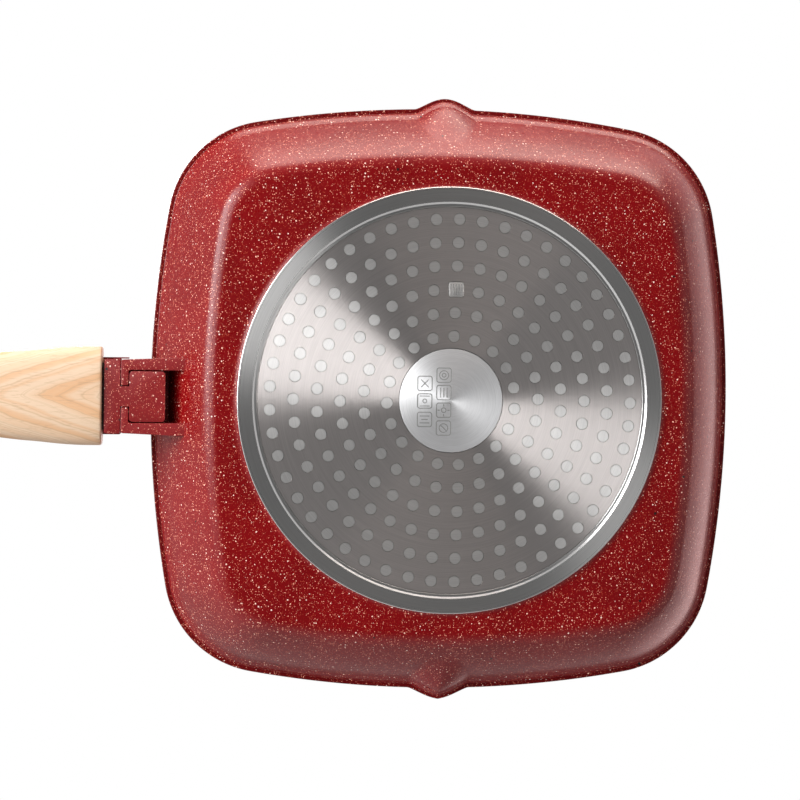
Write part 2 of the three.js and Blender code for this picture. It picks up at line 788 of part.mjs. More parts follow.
function gripRing(distance, halfWidth, halfHeight, lengthShare) {
  const frontSquareness = 3.6;
  const backSquareness = 2.5;
  const power = 2 / (frontSquareness + (backSquareness - frontSquareness) * lengthShare);
  const ring = [];
  for (let i = 0; i < gripSteps; i += 1) {
    const angle = -2 * Math.PI * (i + 1 / 2) / gripSteps;
    const [c, s] = [Math.cos(angle), Math.sin(angle)];
    ring.push(new THREE.Vector3(
      -distance,
      halfWidth * Math.sign(c) * Math.abs(c) ** power,
      gripAxisHeight(distance) + halfHeight * Math.sign(s) * Math.abs(s) ** power,
    ));
  }
  return ring;
}

function grip() {
  const rings = gripStations.map(([lengthShare, widthShare, heightShare], i) => {
    const edge = i === 0 ? gripEdgeRadius : 0;
    return gripRing(
      gripFront + gripLength * lengthShare,
      gripHalfWidth * widthShare - edge, gripHalfHeight * heightShare - edge, lengthShare);
  });
  rings.splice(1, 0, gripRing(gripFront + gripEdgeRadius, gripHalfWidth, gripHalfHeight, 0));
  const notchFloor = deckTop - deckThickness - clearance;
  const socket = block(
    -collarBack - tenonLength - clearance, -gripFront + cutOverrun,
    -tenonHalfWidth - clearance, tenonHalfWidth + clearance);
  const slotRadius = hangSlotHalfWidth * hangSlotRoundShare;
  const slot = block(-hangSlotEnd, -hangSlotStart, -hangSlotHalfWidth, hangSlotHalfWidth, slotRadius);
  return loft(rings)
    .subtract(raised(deckOutline(clearance, gripFront - cutOverrun), notchFloor, 2 * panHeight))
    .subtract(raised(socket, tenonUnderside - clearance, notchFloor + clearance))
    .subtract(alongGrip(rodRadius + clearance, gripFront, hangSlotStart + clearance))
    .subtract(alongGrip(counterboreRadius, nutPlace - nutThickness - rodWasherThickness - 2 * clearance,
      hangSlotStart + hangSlotHalfWidth))
    .subtract(raised(slot, 0, 2 * panHeight));
}

// Tie rod, washer and nut
function tieRod() {
  return alongGrip(rodRadius, rodFront, rodEnd);
}

function rodWasher() {
  const front = nutPlace - nutThickness - rodWasherThickness - clearance;
  return alongGrip(rodWasherRadius, front, front + rodWasherThickness)
    .subtract(alongGrip(rodRadius + clearance, front - cutOverrun, front + cutOverrun));
}

function rodNut() {
  const radius = nutAcrossFlats / Math.sqrt(3);
  const front = nutPlace - nutThickness;
  return alongGrip(radius, front, nutPlace, 6)
    .subtract(alongGrip(rodRadius + clearance, front - cutOverrun, nutPlace + cutOverrun));
}

// Materials
const coat = { color: 0x8f1a20, roughness: 0.42, metalness: 0 };
const steel = { color: 0x9a9a9c, roughness: 0.35, metalness: 1 };
const wood = { color: 0xd9b98c, roughness: 0.55, metalness: 0 };
const darkPolymer = { color: 0x1c1b1b, roughness: 0.6, metalness: 0 };

const group = new THREE.Group();

function addPiece(name, manifold, finish) {
  const mesh = new THREE.Mesh(geometryOf(manifold), new THREE.MeshStandardMaterial(finish));
  mesh.name = name;
  group.add(mesh);
}

addPiece('pan_body', panBody(), coat);
addPiece('induction_disc', inductionDisc(), steel);
addPiece('handle_head', handleHead(), coat);
addPiece('latch_leaf', latchLeaf(), steel);
addPiece('thumb_slide', thumbSlide(), darkPolymer);
addPiece('head_cover', headCover(), coat);
addPiece('cover_screw_left', coverScrew(-screwSpread), steel);
addPiece('cover_screw_right', coverScrew(screwSpread), steel);
addPiece('heat_washer', heatWasher(), darkPolymer);
addPiece('grip', grip(), wood);
addPiece('tie_rod', tieRod(), steel);
addPiece('rod_washer', rodWasher(), steel);
addPiece('rod_nut', rodNut(), steel);

export default group;
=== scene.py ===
import math

import bmesh
import bpy
from mathutils import Matrix, Vector
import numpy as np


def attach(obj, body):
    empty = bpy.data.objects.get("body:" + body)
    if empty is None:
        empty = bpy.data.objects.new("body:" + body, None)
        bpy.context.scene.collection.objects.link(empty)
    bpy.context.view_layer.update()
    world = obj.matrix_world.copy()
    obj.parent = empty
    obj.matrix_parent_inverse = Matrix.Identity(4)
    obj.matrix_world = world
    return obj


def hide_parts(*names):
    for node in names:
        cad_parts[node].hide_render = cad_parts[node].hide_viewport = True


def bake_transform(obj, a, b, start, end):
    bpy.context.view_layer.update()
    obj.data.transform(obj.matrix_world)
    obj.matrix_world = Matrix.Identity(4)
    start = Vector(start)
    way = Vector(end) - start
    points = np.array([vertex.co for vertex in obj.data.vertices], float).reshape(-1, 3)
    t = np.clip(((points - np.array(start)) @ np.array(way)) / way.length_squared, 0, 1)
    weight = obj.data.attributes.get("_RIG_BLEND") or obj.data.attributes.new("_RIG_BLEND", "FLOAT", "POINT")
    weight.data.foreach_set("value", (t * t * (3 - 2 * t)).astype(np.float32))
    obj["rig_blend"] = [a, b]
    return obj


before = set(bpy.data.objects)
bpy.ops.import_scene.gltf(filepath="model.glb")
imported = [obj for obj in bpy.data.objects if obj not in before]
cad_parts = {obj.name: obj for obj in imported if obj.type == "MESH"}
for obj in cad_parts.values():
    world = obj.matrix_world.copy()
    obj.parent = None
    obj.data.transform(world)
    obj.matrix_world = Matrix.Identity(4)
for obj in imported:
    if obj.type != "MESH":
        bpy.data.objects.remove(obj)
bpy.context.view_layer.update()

# Sizes are in millimetres and become metres when a piece is finished.
MM = 0.001
# Points nearer to each other than this are merged.
WELD = 0.0005
QUARTER = math.pi / 2

# Pan shell: half widths from the middle, heights above the table, and radii
RIM_HALF, BASE_HALF, WALL_TOP_HALF = 140, 110, 135.2
RIM_CORNER, BASE_CORNER, SIDE_BOW = 50.7, 28, 521
RIM_HEIGHT, BEAD_UNDERSIDE, BASE_HEIGHT, FLOOR_HEIGHT = 43, 38, 1.5, 6
FILLET_HALF, OUTER_FILLET, FLOOR_FILLET = 108.1, 10, 8
LEDGE_HALF, LEDGE_HEIGHT, LEDGE_REACH = 137.8, 41.3, 6.1
WALL_THICKNESS, WALL_BEND = 3.6, math.radians(5.8)
WALL_END, INNER_WALL_TOP = BEAD_UNDERSIDE - 0.9, 42.2
LIP_HALF_WIDTH, LIP_REACH, LIP_WALL_REACH, LIP_START = 14.6, 5.4, 6.6, 12
# Painted shade: the coat is darker from this height to the top of the rim, standing in for the shadow on the
# rim's outer band.
RIM_SHADE_HEIGHT, RIM_SHADE_BLUR = 41.1, 0.3
# The rim's profile as (half width, height); the widths of RIM_INSIDE count from the inner wall
LEDGE = ((WALL_TOP_HALF - 0.25, 37.4), (WALL_TOP_HALF, 37.62), (LEDGE_HALF - 1.3, 39.2),
         (LEDGE_HALF - 0.35, 40.75), (LEDGE_HALF - 0.15, 41.1), (LEDGE_HALF, LEDGE_HEIGHT - 0.05),
         (LEDGE_HALF + 0.15, LEDGE_HEIGHT), (LEDGE_HALF + 0.3, LEDGE_HEIGHT))
BEAD = ((RIM_HALF - 0.65, LEDGE_HEIGHT), (RIM_HALF - 0.5, LEDGE_HEIGHT), (RIM_HALF - 0.12, 41.45),
        (RIM_HALF, 41.85), (RIM_HALF, 42.3), (RIM_HALF - 0.2, 42.8), (RIM_HALF - 0.8, RIM_HEIGHT))
RIM_INSIDE = ((1.0, RIM_HEIGHT), (0.3, 42.75), (-0.2, INNER_WALL_TOP))
# Points round the shell, and how far they crowd towards its pouring lips
SHELL_STEPS, CROWDING = 640, 0.2
# Recess behind the foot, and the cove that runs from the foot out to the flat base
RECESS_HEIGHT, RECESS_WIDTH = 2.6, 6
COVE_GAP, COVE_START, COVE_REACH = 0.05, 0.45, 3.2
# Ribs
RIB_PITCH, RIB_WIDTH, RIB_HEIGHT, RIB_MARGIN = 13, 4.6, 4.6, 9
RIB_ROOT, RIB_ROUND, RIB_END_ROUND = 1.5, 1.1, RIB_WIDTH / 2 - 0.02

# Foot, disc and hub
FOOT_RADIUS, FOOT_INNER, FOOT_BACK = 99.5, 92.4, 2.3
BAND_DEPTH, POCKET_FLOOR = 0.6, 1.68
DISC_RADIUS, DISC_THICKNESS, DISC_GAP = 90, 0.7, 0.3
HUB_RADIUS, HUB_BACK = 24.2, 1.7
# Dots: round ones in rings, and one square one, given by its ring and its place in it
DOT_RADIUS, FIRST_RING, RING_PITCH = 2.85, 30, 10.9
RING_COUNTS = (19, 25, 31, 37, 43, 49)
ROW_ANGLE = math.radians(-88)
SQUARE_DOT, SQUARE_HOLE_HALF, SQUARE_HOLE_CORNER = (2, 0), 3.7, 1.2
# Pips that fill the dots, and how far their faces are sunk
PIP_RADIUS, PIP_BACK, PIP_SUNK = DOT_RADIUS - 0.2, 1.5, 0.03
SQUARE_PIP_HALF, SQUARE_PIP_CORNER, SQUARE_PIP_EDGE, SQUARE_PIP_SUNK = 3.45, 1.1, 0.12, 0.06
# Signs: place on the hub, radii of rings, and bars as (across, along, length, quarter turns)
SIGN_HALF, SIGN_RISE, SIGN_DEPTH = 3.55, 0.05, 0.3
SIGN_CORNER = SIGN_HALF * math.sqrt(2) * 0.24
FRAME_STROKE, RING_STROKE, BAR_STROKE = 0.4, 0.38, 0.4
SIGNS = ((-3.4, -11.8, (2.3, 1.1), ()),
         (-3.4, -3.7, (), ((-1.5, 0, 4.6, 1), (0, 0, 4.6, 1), (1.5, 0, 4.6, 1))),
         (-3.4, 4.5, (1.3,), ((-2.3, 0, 1.1, 0), (2.3, 0, 1.1, 0), (0, -2.3, 1.1, 1), (0, 2.3, 1.1, 1))),
         (-3.4, 12.8, (2.2,), ((0, 0, 3.4, 0.5),)),
         (-12.3, -7.9, (), ((0, 0, 5, 0.5), (0, 0, 5, 1.5))),
         (-12.3, 0.3, (1.1,), ((0, -2.3, 4.6, 0), (0, 2.3, 4.6, 0))),
         (-12.3, 8.9, (), ((0, -1.6, 4.6, 0), (0, 0, 3.0, 0), (0, 1.6, 4.6, 0))))
# Bars on the square pip
PIP_BAR_PITCH, PIP_BAR_LENGTH, PIP_BAR_STROKE = 1.25, 5.2, 0.35

# Bracket
BRACKET_ROOT, BRACKET_FLARE_END, BRACKET_END = 120.0, 127.0, 153.3
BRACKET_HALF, BRACKET_FLARE, ROOF_PROUD = 17.2, 1.1, 0.06
ARM, LIP, SLOT_HALF = 4.85, 3.6, 5.07
BRACKET_UNDERSIDE, BRACKET_TOP, ROOF, ARM_DROP = 17, 34.5, 4.2, 0.6
BRACKET_CORNER, ARM_EDGE, ROOF_EDGE = 1.0, 0.35, 0.5

# Grip, and its stations as shares of the length, of the half width and of the half height
GRIP_FRONT, GRIP_LENGTH, GRIP_EDGE = 162.2, 156, 1.0
GRIP_STEPS, GRIP_ROWS, GRIP_EVEN_ROWS = 96, 48, 43
GRIP_HALF_WIDTH, GRIP_HALF_HEIGHT, GRIP_CENTRE, GRIP_RISE = 23.2, 13, 28, 13.6
GRIP_STATIONS = ((0, 1, 1), (0.07, 1, 1), (0.13, 0.978, 0.99), (0.19, 0.94, 0.98), (0.25, 0.909, 0.965),
                 (0.31, 0.868, 0.945), (0.42, 0.81, 0.905), (0.54, 0.772, 0.87), (0.66, 0.757, 0.84),
                 (0.78, 0.765, 0.81), (0.87, 0.765, 0.785), (0.93, 0.7, 0.75), (0.965, 0.58, 0.69),
                 (0.99, 0.38, 0.56), (1, 0.2, 0.42))
GRIP_END_SHARES = (0.93, 0.945, 0.958, 0.97, 0.98, 0.988, 0.994, 0.998, 1)
# Cuts in the grip: seats for the head's deck and tenon, the hanging slot, the rod's bore and counterbore
CUT_START, CUT_TOP, DECK_SEAT = -158.2, 86, 33.2
DECK_CUT_END, DECK_CUT_HALF, DECK_CUT_CORNER = -199.3, 18.6, 7.2
TENON_CUT_END, TENON_CUT_HALF, TENON_CUT_FLOOR = -181.3, 13.3, 18.7
SLOT_START, SLOT_END, HANG_SLOT_HALF, HANG_SLOT_CORNER = -277, -303, 6, 5.9
BORES = ((3.3, 160, 277.3), (6.9, 264.4, 283))

# Studio: the camera's place and turns were fitted to the photograph.
CAMERA_PLACE = (-116.73, -16.45, -1034.4)
CAMERA_TURNS = (("Z", 0.0127), ("X", 0.0158), ("Y", -0.0895))
SENSOR_WIDTH, FOCAL_PIXELS, IMAGE_PIXELS = 36, 2236.07, 800
# The floor lies a little below the foot. Between the last two distances, in metres, it turns pure white.
FLOOR_HALF, FLOOR_DROP, PAPER_END, WHITE_START = 2000, 0.4, 0.45, 1.3
# Brightness of the surroundings from straight below (0) to straight above (1)
SKY = ((0.0, 0.02), (0.03, 0.09), (0.1, 0.32), (0.2, 0.56), (0.35, 0.65), (0.5, 0.55), (0.6, 0.36),
       (0.72, 0.22), (0.8, 0.28), (0.88, 0.6), (0.95, 0.25), (1.0, 0.12))
WHITE, WARM = (1, 1, 1), (1, 0.86, 0.78)
# Lamps: name, azimuth, angle off the axis, distance, width, height, level, whether below the pan, tint
LAMPS = (("left box", 202, 64, 2.0, 1.45, 1.1, 10.6, True, WHITE),
         ("left strip", 201, 37, 2.0, 1.1, 0.3, 8.8, True, WHITE),
         ("far box", 281, 97, 2.0, 2.6, 1.65, 4.9, True, WARM),
         ("over key", 215, 28, 2.0, 0.8, 0.8, 13, False, WHITE),
         ("over fill", 20, 16, 2.2, 1.0, 1.0, 2.5, False, WHITE))


# Finishes

class Value:
    """A number that changes over a surface, with the arithmetic that a finish needs."""

    def __init__(self, nodes, socket):
        self.nodes, self.socket = nodes, socket

    def math(self, operation, *values):
        node = self.nodes.add("ShaderNodeMath", {"operation": operation}, dict(enumerate(values)))
        return Value(self.nodes, node.outputs[0])

    def __add__(self, other):
        return self.math("ADD", self, other)

    def __sub__(self, other):
        return self.math("SUBTRACT", self, other)

    def __rsub__(self, other):
        return self.math("SUBTRACT", other, self)

    def __mul__(self, other):
        return self.math("MULTIPLY", self, other)

    def __truediv__(self, other):
        return self.math("DIVIDE", self, other)

    def __pow__(self, other):
        return self.math("POWER", self, other)

    __radd__ = __add__
    __rmul__ = __mul__

    def step(self, low, high):
        """0 up to low, 1 from high on, and smooth between them; low may be the larger."""
        node = self.nodes.add("ShaderNodeMapRange", {"interpolation_type": "SMOOTHSTEP"},
                              {"Value": self, "From Min": low, "From Max": high})
        return Value(self.nodes, node.outputs["Result"])


class Nodes:
    """The nodes of a material or of the world."""

    def __init__(self, tree):
        self.tree = tree

    def add(self, kind, settings, sockets):
        node = self.tree.nodes.new(kind)
        for name, value in settings.items():
            if name == "stops":
                ramp = node.color_ramp
                while len(ramp.elements) < len(value):
                    ramp.elements.new(0.5)
                for element, (position, level) in zip(ramp.elements, value):
                    element.position, element.color = position, (level, level, level, 1)
            else:
                setattr(node, name, value)
        for key, value in sockets.items():
            self.join(value, node.inputs[key])
        return node

    def join(self, value, socket):
        """Links a value or an output to a socket, or sets the socket to a constant."""
        if isinstance(value, Value):
            value = value.socket
        if isinstance(value, bpy.types.NodeSocket):
            self.tree.links.new(value, socket)
        elif isinstance(value, (tuple, list)) and len(value) == 3 and socket.type == "RGBA":
            socket.default_value = (*value, 1)
        else:
            socket.default_value = value

    def mix(self, amount, first, second):
        """A colour: first where amount is 0 and second where it is 1."""
        node = self.add("ShaderNodeMix", {"data_type": "RGBA"}, {0: amount, 6: first, 7: second})
        return node.outputs[2]

    def axes(self, place):
        split = self.add("ShaderNodeSeparateXYZ", {}, {0: place}).outputs
        return [Value(self, split[i]) for i in range(3)]

    def vector(self, *parts):
        return self.add("ShaderNodeCombineXYZ", {}, dict(enumerate(parts))).outputs[0]


class Finish(Nodes):
    """One material, with the patterns that its finish is made of."""

    def __init__(self, name, **constants):
        self.material = bpy.data.materials.new(name)
        self.material.use_nodes = True
        super().__init__(self.material.node_tree)
        self.shader = self.tree.nodes["Principled BSDF"]
        for socket, value in constants.items():
            self.shader.inputs[socket.replace("_", " ")].default_value = value
        self.place = self.add("ShaderNodeTexCoord", {}, {}).outputs["Object"]

    def feed(self, socket, value):
        self.join(value, self.shader.inputs[socket])

    def moved(self, scale=(1, 1, 1), shift=(0, 0, 0), place=None):
        node = self.add("ShaderNodeMapping", {"vector_type": "POINT"},
                        {"Vector": place or self.place, "Scale": scale, "Location": shift})
        return node.outputs[0]

    def noise(self, scale, detail=2, place=None):
        sockets = {"Vector": place or self.place, "Scale": scale, "Detail": detail}
        return Value(self, self.add("ShaderNodeTexNoise", {}, sockets).outputs[0])

    def stretched_noise(self, scale, detail=2):
        """Noise with its own scale along each axis."""
        return self.noise(1.0, detail, self.moved(scale))

    def warped(self, scale, amount):
        """The place, pushed about by noise."""
        push = self.add("ShaderNodeTexNoise", {}, {"Vector": self.place, "Scale": scale, "Detail": 1})
        centred = self.add("ShaderNodeVectorMath", {"operation": "SUBTRACT"},
                           {0: push.outputs["Color"], 1: (0.5, 0.5, 0.5)})
        scaled = self.add("ShaderNodeVectorMath", {"operation": "SCALE"},
                          {0: centred.outputs[0], "Scale": amount})
        return self.add("ShaderNodeVectorMath", {"operation": "ADD"},
                        {0: self.place, 1: scaled.outputs[0]}).outputs[0]

    def flecks(self, cells, radius, share, place, seed):
        """Round spots of mixed size: cells per metre, the radius as a share of a cell, and the share of
        cells that have a spot."""
        cell = self.add("ShaderNodeTexVoronoi", {"voronoi_dimensions": "3D"},
                        {"Vector": self.moved(shift=(seed, seed, seed), place=place), "Scale": cells})
        lot = self.axes(cell.outputs["Color"])
        reach = (lot[0] * 0.6 + 0.4) * radius
        present = lot[1].step(1 - share, 1 - share + 0.001)
        away = Value(self, cell.outputs["Distance"]) / reach
        return away.step(1.12, 0.78) * present

    def bump(self, height, distance, strength=1.0, after=None):
        sockets = {"Height": height, "Distance": distance, "Strength": strength}
        if after:
            sockets["Normal"] = after
        return self.add("ShaderNodeBump", {}, sockets).outputs[0]


def shaded(colour, share):
    return tuple(min(1, part * share) for part in colour)


def speckled_coat(name, base, gloss, ior):
    """A red coat with a mist of light red, small and large cream flecks and a few dark ones, and painted
    shade along the top of the rim.
    """
    finish = Finish(name, Metallic=0.0, IOR=ior)
    loose = finish.warped(800, 0.00013)
    tone = finish.noise(28, 3)
    ground = finish.mix(tone.step(0.3, 0.7), shaded(base, 0.86), shaded(base, 1.06))
    height = finish.axes(finish.place)[2]
    # Painted shade: the top of the rim is darkened in the coat's colour, for the shadow that its outer band
    # lies in.
    rim = height.step(RIM_SHADE_HEIGHT * MM, (RIM_SHADE_HEIGHT + RIM_SHADE_BLUR) * MM)
    ground = finish.mix(rim * 0.6, ground, shaded(base, 0.3))
    mist = finish.flecks(1600, 0.36, 0.6, loose, 0.31)
    small = finish.flecks(1280, 0.36, 0.45, loose, 0.13)
    large = finish.flecks(660, 0.27, 0.24, loose, 0.57)
    dark = finish.flecks(170, 0.14, 0.12, loose, 0.83)
    hue = finish.noise(260, 1)
    cream = finish.mix(hue.step(0.4, 0.6), (0.97, 0.56, 0.43), (0.95, 0.68, 0.60))
    colour = finish.mix(mist * 0.4, ground, (0.75, 0.15, 0.08))
    colour = finish.mix(small * 0.85, colour, (0.92, 0.36, 0.25))
    colour = finish.mix(large, colour, cream)
    colour = finish.mix(dark, colour, (0.012, 0.01, 0.01))
    finish.feed("Base Color", colour)
    finish.feed("Roughness", gloss + finish.noise(420, 2) * 0.1 - small * 0.05)
    grain = finish.bump(finish.noise(700, 2), 0.00006)
    finish.feed("Normal", finish.bump(small + large, 0.00003, 0.5, grain))
    return finish.material


def turned_metal(name, tone, roughness, anisotropy, ring_depth, streaks, lay=0.25):
    """Metal with fine rings from the lathe. A lay of 0.25 runs the rings round the Z axis."""
    finish = Finish(name, Metallic=1.0, Anisotropic=anisotropy, Anisotropic_Rotation=lay)
    x, y = finish.axes(finish.place)[:2]
    radius = (x * x + y * y) ** 0.5
    line = finish.vector(radius)
    arc = finish.vector(radius * 1400, x.math("ARCTAN2", y, x) * 3.0)
    fine = finish.noise(2600, 2, line)
    wide = finish.noise(260, 2, line)
    broken = finish.noise(1.0, 3, arc)
    shade = fine * 0.5 + wide * 0.3 + broken * streaks
    finish.feed("Base Color", finish.mix(shade.step(0.25, 0.85), shaded(tone, 0.86), shaded(tone, 1.12)))
    finish.feed("Roughness", roughness - 0.05 + fine * 0.1)
    finish.feed("Normal", finish.bump(fine * 0.6 + broken * 0.4, ring_depth))
    return finish.material


def plain_metal(name, tone, roughness, grain_scale):
    finish = Finish(name, Metallic=1.0)
    grain = finish.stretched_noise(grain_scale, 3)
    finish.feed("Base Color", finish.mix(grain.step(0.3, 0.7), shaded(tone, 0.85), tone))
    finish.feed("Roughness", roughness - 0.05 + grain * 0.12)
    finish.feed("Normal", finish.bump(grain, 0.00001))
    return finish.material


def moulded_polymer(name, tone, roughness):
    finish = Finish(name, Metallic=0.0)
    cloud = finish.noise(60, 2)
    finish.feed("Base Color", finish.mix(cloud, shaded(tone, 0.85), shaded(tone, 1.15)))
    finish.feed("Roughness", roughness - 0.06 + finish.noise(900, 2) * 0.12)
    finish.feed("Normal", finish.bump(finish.noise(1800, 2), 0.00003))
    return finish.material


def pale_wood(name):
    """Growth rings that run to a point on the grip's middle line, for cathedral grain, and fine vessels."""
    finish = Finish(name, Metallic=0.0)
    x, y, z = finish.axes(finish.place)
    wander = finish.stretched_noise((14, 60, 60)) - 0.5
    ripple = finish.stretched_noise((40, 260, 260), 3) - 0.5
    behind = (x * -1) - (GRIP_FRONT + 8) * MM
    across = y + wander * 0.006
    slant = (across * across + 0.000004) ** 0.5
    line = finish.vector(slant + behind * 0.3 + z * 0.25 + ripple * 0.0022)
    wide = finish.noise(150, 2, line)
    fine = finish.noise(900, 2, line)
    vessel = finish.stretched_noise((14, 1500, 1500))
    colour = finish.mix(wide.step(0.42, 0.66), (0.65, 0.475, 0.33), (0.61, 0.35, 0.185))
    colour = finish.mix(fine.step(0.5, 0.66) * 0.55, colour, (0.47, 0.31, 0.18))
    colour = finish.mix(vessel.step(0.56, 0.68) * 0.3, colour, (0.36, 0.23, 0.13))
    finish.feed("Base Color", colour)
    finish.feed("Roughness", 0.42 + fine * 0.14)
    finish.feed("Normal", finish.bump(vessel * -0.5 + fine * 0.5, 0.00005))
    return finish.material


COAT = speckled_coat("Speckled red coat", (0.183, 0.001, 0.0025), gloss=0.24, ior=1.42)
DULL_COAT = speckled_coat("Speckled red coat, duller", (0.225, 0.002, 0.004), gloss=0.42, ior=1.55)
TURNED = turned_metal("Turned disc steel", (0.655, 0.61, 0.595), roughness=0.35, anisotropy=1.0,
                      ring_depth=0.000004, streaks=0.35)
MACHINED = turned_metal("Machined aluminium", (0.80, 0.79, 0.78), roughness=0.285, anisotropy=0.9,
                        ring_depth=0.000003, streaks=0.3, lay=0.276)
HUB = turned_metal("Satin hub aluminium", (0.87, 0.87, 0.88), roughness=0.52, anisotropy=0.6,
                   ring_depth=0.000003, streaks=0.3)
STUD = turned_metal("Aluminium pip", (0.88, 0.865, 0.85), roughness=0.42, anisotropy=0.8,
                    ring_depth=0.000004, streaks=0.3)
ETCHED = turned_metal("Etched sign", (0.42, 0.415, 0.41), roughness=0.55, anisotropy=0.3,
                      ring_depth=0.000004, streaks=0.3)
SPRING = plain_metal("Spring steel", (0.5, 0.5, 0.52), 0.32, (900, 60, 900))
ZINC = plain_metal("Zinc-plated steel", (0.62, 0.62, 0.6), 0.36, (500, 500, 500))
BLACK = moulded_polymer("Black polymer", (0.022, 0.022, 0.023), 0.55)
GASKET = moulded_polymer("Dark heat washer", (0.03, 0.012, 0.010), 0.6)
WOOD = pale_wood("Pale grip wood")


# Shapes

def verts_of(parts):
    return [part for part in parts if isinstance(part, bmesh.types.BMVert)]


def edges_of(parts):
    return [part for part in parts if isinstance(part, bmesh.types.BMEdge)]


def rounded(bm, geom, radius, segments, affect="EDGES"):
    bmesh.ops.bevel(bm, geom=geom, offset=radius, offset_type="OFFSET", segments=segments,
                    profile=0.5, affect=affect, material=-1, clamp_overlap=True)


def raise_faces(bm, faces, height, keep=False):
    """Extrudes faces upwards; keep closes the form below as well."""
    added = bmesh.ops.extrude_face_region(bm, geom=faces, use_keep_orig=keep)["geom"]
    bmesh.ops.translate(bm, vec=(0, 0, height), verts=verts_of(added))


def finished(name, bm, material, body, sharp=38, recalculate=True):
    """Turns a bmesh in millimetres into a piece that rides on a body of the pan."""
    bmesh.ops.remove_doubles(bm, verts=bm.verts, dist=WELD)
    if recalculate:
        bmesh.ops.recalc_face_normals(bm, faces=bm.faces)
    bmesh.ops.scale(bm, vec=(MM, MM, MM), verts=bm.verts)
    mesh = bpy.data.meshes.new(name)
    bm.to_mesh(mesh)
    bm.free()
    piece = bpy.data.objects.new(name, mesh)
    bpy.context.scene.collection.objects.link(piece)
    mesh.materials.append(material)
    mesh.shade_smooth()
    mesh.set_sharp_from_angle(angle=math.radians(sharp))
    if body:
        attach(piece, body)
    return piece


def grown_skin(levels, steps):
    """A closed skin: a disc whose edge is extruded level by level. A level is a function that gives a
    point of the edge from its turn about the middle."""
    bm = bmesh.new()
    bmesh.ops.create_circle(bm, cap_ends=True, segments=steps, radius=1)
    turn = bm.verts.layers.float.new("turn")
    for vert in bm.verts:
        vert[turn] = math.atan2(vert.co.y, vert.co.x)
        vert.co = levels[0](vert[turn])
    edge = list(bm.edges)
    for level in levels[1:]:
        added = bmesh.ops.extrude_edge_only(bm, edges=edge)["geom"]
        verts = set(verts_of(added))
        for vert in verts:
            vert.co = level(vert[turn])
        edge = [part for part in edges_of(added) if all(vert in verts for vert in part.verts)]
    bmesh.ops.edgeloop_fill(bm, edges=edge)
    bm.verts.layers.float.remove(turn)
    return bm


def spun(profile, steps):
    """A closed form of revolution about Z from its outline of (radius, height) points."""
    bm = bmesh.new()
    verts = [bm.verts.new((radius, 0, height)) for radius, height in profile]
    edges = [bm.edges.new(pair) for pair in zip(verts, verts[1:])]
    bmesh.ops.spin(bm, geom=verts + edges, cent=(0, 0, 0), axis=(0, 0, 1), angle=math.tau,
                   steps=steps, use_merge=True)
    bmesh.ops.remove_doubles(bm, verts=bm.verts, dist=WELD)
    return bm


def slab(outline, bottom, top, corners=(), corner_radius=0.0, edge_radius=0.0, segments=3):
    """A plan outline raised from one height to another, with round corners and edges."""
    bm = bmesh.new()
    face = bm.faces.new([bm.verts.new((x, y, bottom)) for x, y in outline])
    raise_faces(bm, [face], top - bottom)
    bmesh.ops.recalc_face_normals(bm, faces=bm.faces)
    if corner_radius:
        places = [Vector(outline[i]) for i in corners]
        uprights = [edge for edge in bm.edges
                    if abs(edge.verts[0].co.z - edge.verts[1].co.z) > 0.01
                    and any((edge.verts[0].co.xy - place).length < 0.01 for place in places)]
        rounded(bm, uprights, corner_radius, 6)
    if edge_radius:
        level = [edge for edge in bm.edges
                 if edge.verts[0].co.z == edge.verts[1].co.z
                 and len(edge.link_faces) == 2 and edge.calc_face_angle() > 0.6]
        rounded(bm, level, edge_radius, segments)
    return bm


def rectangle(left, right, front, back):
    return [(left, front), (right, front), (right, back), (left, back)]


def rounded_square(bm, half, corner, filled):
    """Adds a flat square with round corners about the origin, and returns its points."""
    others = set(bm.verts)
    points = bmesh.ops.create_circle(bm, cap_ends=filled, segments=4, radius=half * math.sqrt(2))["verts"]
    bmesh.ops.rotate(bm, verts=points, cent=(0, 0, 0), matrix=Matrix.Rotation(math.pi / 4, 3, "Z"))
    rounded(bm, points, corner, 4, "VERTICES")
    return [vert for vert in bm.verts if vert not in others]


def joined(parts):
    """One bmesh from several."""
    whole = bmesh.new()
    for bm in parts:
        mesh = bpy.data.meshes.new("part")
        bm.to_mesh(mesh)
        bm.free()
        whole.from_mesh(mesh)
        bpy.data.meshes.remove(mesh)
    return whole


def spread(start, end, steps):
    """Even steps from start to end, both included."""
    return [start + (end - start) * i / steps for i in range(steps + 1)]


def smooth(value):
    value = min(1, max(0, value))
    return value * value * (3 - 2 * value)


# Outline of the pan

WALL_RUN = math.hypot(WALL_TOP_HALF - FILLET_HALF, BEAD_UNDERSIDE - BASE_HEIGHT - OUTER_FILLET)
WALL_NORMAL = (math.atan2(BEAD_UNDERSIDE - BASE_HEIGHT - OUTER_FILLET, WALL_TOP_HALF - FILLET_HALF)
               - math.acos(OUTER_FILLET / WALL_RUN))
WALL_SLOPE = -math.tan(WALL_NORMAL)
WALL_INSET = WALL_THICKNESS / math.cos(WALL_NORMAL)


def wall_half(height):
    return WALL_TOP_HALF + (height - BEAD_UNDERSIDE) * WALL_SLOPE


def corner_at(half):
    """Radius of the pan's corners where it has a half width."""
    return BASE_CORNER + (RIM_CORNER - BASE_CORNER) * (half - BASE_HALF) / (RIM_HALF - BASE_HALF)


def lip_push(across, height, reach, side):
    """How far a pouring lip swells the wall; the lip on the +Y side has the sharper tip."""
    share = smooth((height - LIP_START) / (BEAD_UNDERSIDE - LIP_START))
    width = LIP_HALF_WIDTH * (0.6 + 0.4 * share)
    place = min(1, abs(across) / width)
    dome = math.cos(place * QUARTER) ** 1.3
    tent = 0.6 * dome + 0.4 * (1 - place)
    return reach * share * (tent if side > 0 else 0.93 * dome)


def crowded(turn):
    """Moves a turn so that even steps lie closer together at the pouring lips."""
    return turn + CROWDING * math.sin(2 * turn)


